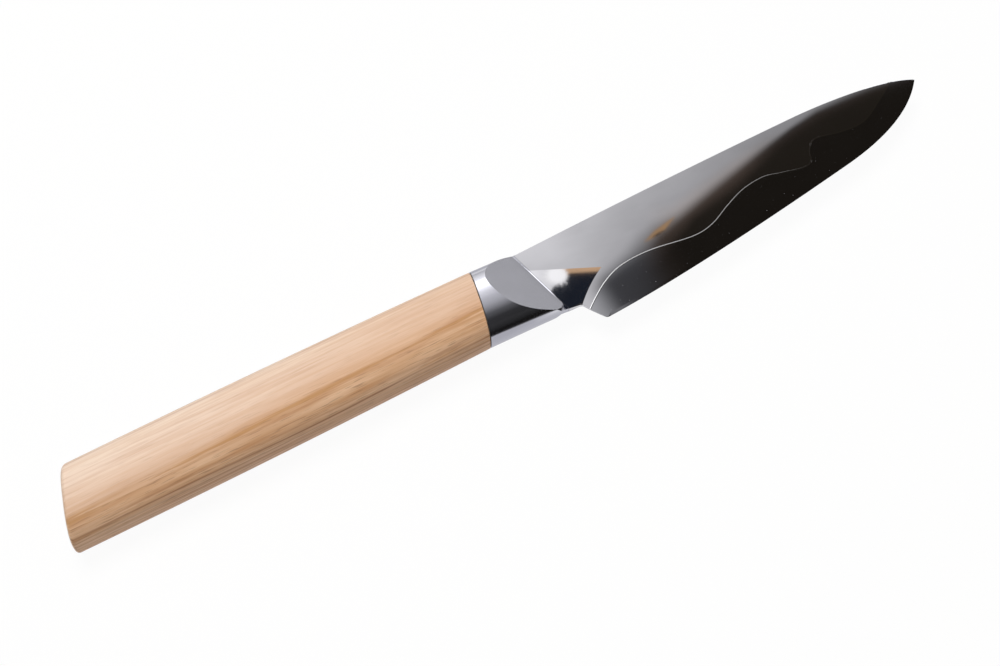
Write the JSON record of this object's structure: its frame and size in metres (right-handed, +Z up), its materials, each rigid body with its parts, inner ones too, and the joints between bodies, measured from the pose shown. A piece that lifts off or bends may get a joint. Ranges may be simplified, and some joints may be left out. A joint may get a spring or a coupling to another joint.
{
  "type": "slicing knife",
  "caption": "Small kitchen slicing knife with a wave-brazed blade of polished and satin steel, a faceted steel bolster and a pale oval wooden handle.",
  "frame": {"origin": "under the middle of the knife's box, on the table that it lies on", "axes": "+X from the butt of the handle to the tip of the blade, +Y from the cutting edge to the spine, +Z up, square to the blade's side"},
  "size_m": [0.2572, 0.0284, 0.0176],
  "materials": {
    "polished_steel": "polished",
    "satin_steel": "satin",
    "braze_metal": "satin",
    "stainless": "polished",
    "pale_wood": "matt, sealed",
    "dark_glue": "matt"
  },
  "bodies": {
    "root": {"blade_body": "polished_steel", "cutting_edge": "satin_steel", "braze_seam": "braze_metal", "bolster": "stainless", "wood_handle": "pale_wood", "handle_adhesive": "dark_glue"}
  },
  "joints": []
}
